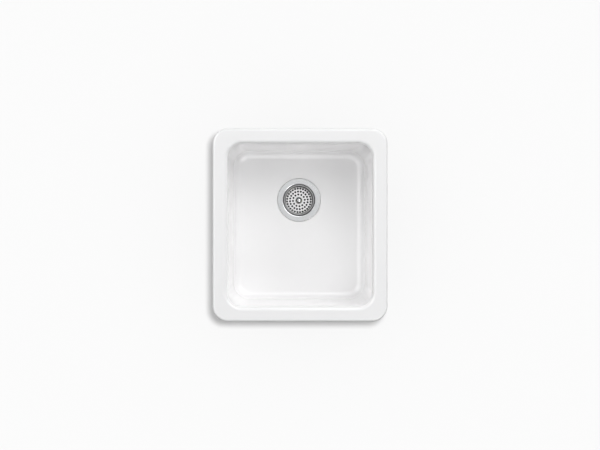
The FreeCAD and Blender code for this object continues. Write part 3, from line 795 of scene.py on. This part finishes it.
perforated_cup = grown(
    "perforated_cup",
    punch,
    {
        "Hole Radius": HOLE_R,
        "Edge Bulge": EDGE_BULGE,
        "Sheet": SHEET,
        "Outer Ring Radius": OUTER_RING_R,
        "Ring Pitch": RING_PITCH,
        "Outer Ring Holes": OUTER_RING_HOLES,
        "Fewer Per Ring": FEWER_PER_RING,
        "Start Angle": HOLE_START,
        "Floor Radius": floor_flat_r,
        "Bush Hole Radius": BUSH_HOLE_R,
        "Floor Middle": (0.0, DRAIN_Y, CUP_FLOOR_Z - SHEET / 2),
        "Around": CUP_AROUND,
        "Finish": pressed_stainless,
    },
    base=cup_wall,
)
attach(perforated_cup, "basket")
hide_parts("basket_cup")


# A nylon bush is pushed through the cup's floor and held by a ring underneath. A rubber ring inside it grips the
# stem, so that the stopper stays up or down where it is left.
nylon = plain_stuff(
    "natural_nylon",
    tones=((0.62, 0.61, 0.57), (0.72, 0.71, 0.67)),
    scale=350.0,
    detail=2.0,
    roughness=(0.25, 0.4),
    relief=(0.2, 0.0001),
    Subsurface_Weight=0.15,
    Subsurface_Scale=0.001,
)
dress("stem_bush", nylon)
dress("bush_ring", nylon)
dress("grip_ring", black_rubber)


# The stem is a bright steel rod that slides in the bush, and its lower end carries the stopper. The knob to pull it
# by is brass, plated and polished, and is screwed on the rod's top end.
bright_rod = turned_metal(
    "bright_rod",
    tones=((0.56, 0.56, 0.56), (0.66, 0.66, 0.66)),
    fineness=2500.0,
    roughness=(0.10, 0.22),
    depth=0.00002,
)
polished_knob = turned_metal(
    "polished_knob",
    tones=((0.64, 0.65, 0.66), (0.72, 0.73, 0.74)),
    fineness=4000.0,
    roughness=(0.05, 0.11),
    depth=0.00001,
)
dress("stem", bright_rod)
dress("stem_knob", polished_knob)


# A rubber stopper hangs on the stem under the basket, between a steel washer and a nut. Pushed down, it meets
# the seat in the strainer's body and closes the drain. The washer's near-black colour is painted shade.
# Painted shade: the washer is coloured near black, for the shade seen through the basket's holes.
painted_shade_steel = turned_metal(
    "painted_shade_steel",
    tones=((0.045, 0.047, 0.052), (0.080, 0.082, 0.090)),
    fineness=1600.0,
    roughness=(0.32, 0.48),
    depth=0.00003,
)
dress("backing_washer", painted_shade_steel)
dress("rubber_stopper", black_rubber)
dress("stopper_nut", bright_rod)


# Studio: a pale floor under the tailpiece, a broad key at the back right with a small lamp above it, weaker lamps at
# the left and in front, and a dim sky. Two panels show only as gloss on the enamel. A small lamp beside the camera
# and a sun from straight above light only the floor, so the sink's shadow lies close to its left and front edges.
FLOOR_REACH, PAPER = 9.0, (0.62, 0.62, 0.62, 1.0)
floor_z = cad_box[0].z
floor_corners = [(x * FLOOR_REACH, y * FLOOR_REACH, floor_z) for x, y in ((-1, -1), (1, -1), (1, 1), (-1, 1))]
floor_mesh = bpy.data.meshes.new("floor")
floor_mesh.from_pydata(floor_corners, [], [(0, 1, 2, 3)])
floor = bpy.data.objects.new("floor", floor_mesh)
bpy.context.collection.objects.link(floor)
floor.visible_diffuse = False
paper = bpy.data.materials.new("studio_paper")
paper.use_nodes = True
tree = paper.node_tree
tree.nodes.clear()
lit = add(tree, "ShaderNodeBsdfDiffuse", {"Color": PAPER}).outputs[0]
add(tree, "ShaderNodeOutputMaterial", {"Surface": lit})
floor_mesh.materials.append(paper)

# The sky is dim at the horizon and brightest overhead. The camera and reflections see an even backdrop in its place.
BACKDROP, SKY_LOW, SKY_HIGH, WHITE = 0.956, 0.06, 0.41, (1.0, 1.0, 1.0, 1.0)
world = bpy.data.worlds.new("studio")
bpy.context.scene.world = world
world.use_nodes = True
tree = world.node_tree
tree.nodes.clear()
path = add(tree, "ShaderNodeLightPath").outputs
seen = summed(tree, path["Is Camera Ray"], path["Is Glossy Ray"], "MAXIMUM")
outwards = add(tree, "ShaderNodeTexCoord").outputs["Generated"]
upwards = add(tree, "ShaderNodeSeparateXYZ", {0: outwards}).outputs["Z"]
overhead = summed(tree, ranged(tree, upwards, 0.0, SKY_HIGH), ranged(tree, upwards, 0.0, 1.0), "MULTIPLY")
dome = summed(tree, overhead, ranged(tree, upwards, SKY_LOW, 0.0))
sky = add(tree, "ShaderNodeBackground", {"Color": WHITE, "Strength": dome}).outputs[0]
backdrop = add(tree, "ShaderNodeBackground", {"Color": (BACKDROP, BACKDROP, BACKDROP, 1.0)}).outputs[0]
surroundings = add(tree, "ShaderNodeMixShader", {0: seen, 1: sky, 2: backdrop}).outputs[0]
add(tree, "ShaderNodeOutputWorld", {"Surface": surroundings})


def hung(holder, elevation, bearing, distance):
    """Hangs a lamp at a height and bearing round the sink, turned to face it."""
    rise, swing = math.radians(elevation), math.radians(bearing)
    arm = Vector((math.cos(rise) * math.cos(swing), math.cos(rise) * math.sin(swing), math.sin(rise))) * distance
    holder.location = arm
    holder.rotation_mode = "QUATERNION"
    holder.rotation_quaternion = (-arm).to_track_quat("-Z", "Y")
    bpy.context.collection.objects.link(holder)


def lights(holder, receiver, state):
    """Links a lamp to one object alone, or to everything but that object."""
    receivers = bpy.data.collections.new(holder.name + "_receivers")
    receivers.objects.link(receiver)
    receivers.collection_objects[0].light_linking.link_state = state
    holder.light_linking.receiver_collection = receivers


LAMP_DISTANCE = 5.2
for name, energy, width, elevation, bearing, shows in (
    ("key", 206.0, 6.0, 40, 56, "all"),
    ("top", 22.0, 3.2, 56, 78, "light"),
    ("side", 72.0, 3.2, 28, 150, "all"),
    ("left_fill", 28.0, 2.4, 42, 200, "light"),
    ("front_fill", 51.0, 2.4, 42, 310, "all"),
    ("left_panel", 300.0, 7.0, 44, 176, "gloss"),
    ("front_panel", 236.0, 7.0, 44, 274, "gloss"),
):
    light = bpy.data.lights.new(name, "AREA")
    light.energy = energy
    light.shape = "DISK"
    light.size = width
    softbox = bpy.data.objects.new(name, light)
    softbox.visible_camera = False
    softbox.visible_diffuse = shows != "gloss"
    softbox.visible_glossy = shows != "light"
    hung(softbox, elevation, bearing, LAMP_DISTANCE)
    if shows == "gloss":
        lights(softbox, enamelled_casting, "INCLUDE")
    else:
        lights(softbox, floor, "EXCLUDE")

# The floor's own lamp grows stronger along slanting rays, so that it lights the floor evenly from end to end.
CAMERA_X, CAMERA_RISE, PICTURE_WIDTH, SENSOR_WIDTH = -0.030, 2.44, 1.476, 36.0
FLOOR_LAMP, FLOOR_LAMP_R, FLOOR_LAMP_ASIDE = 31.5, 0.071, 0.071
FLOOR_SUN, FLOOR_SUN_SPREAD = 1.70, math.radians(6.0)
camera_z = DECK_Z + CAMERA_RISE
light = bpy.data.lights.new("floor_lamp", "POINT")
light.energy = FLOOR_LAMP
light.shadow_soft_size = FLOOR_LAMP_R
light.use_nodes = True
tree = light.node_tree
even = add(tree, "ShaderNodeLightFalloff", {"Strength": 1.0}).outputs["Constant"]
slant = summed(tree, add(tree, "ShaderNodeLightPath").outputs["Ray Length"], camera_z - floor_z, "DIVIDE")
tree.links.new(summed(tree, even, slant, "MULTIPLY"), tree.nodes["Emission"].inputs["Strength"])
floor_lamp = bpy.data.objects.new("floor_lamp", light)
floor_lamp.location = (CAMERA_X + FLOOR_LAMP_ASIDE, FLOOR_LAMP_ASIDE, camera_z)
floor_lamp.visible_camera = False
bpy.context.collection.objects.link(floor_lamp)
lights(floor_lamp, floor, "INCLUDE")
light = bpy.data.lights.new("floor_sun", "SUN")
light.energy = FLOOR_SUN
light.angle = FLOOR_SUN_SPREAD
floor_sun = bpy.data.objects.new("floor_sun", light)
bpy.context.collection.objects.link(floor_sun)
lights(floor_sun, floor, "INCLUDE")

camera_data = bpy.data.cameras.new("overhead_camera")
camera_data.sensor_width = SENSOR_WIDTH
camera_data.lens = SENSOR_WIDTH * CAMERA_RISE / PICTURE_WIDTH
camera_data.shift_x = -CAMERA_X / PICTURE_WIDTH
camera = bpy.data.objects.new("overhead_camera", camera_data)
camera.location = (CAMERA_X, 0.0, camera_z)
bpy.context.collection.objects.link(camera)
bpy.context.scene.camera = camera
bpy.context.scene.view_settings.view_transform = "Standard"
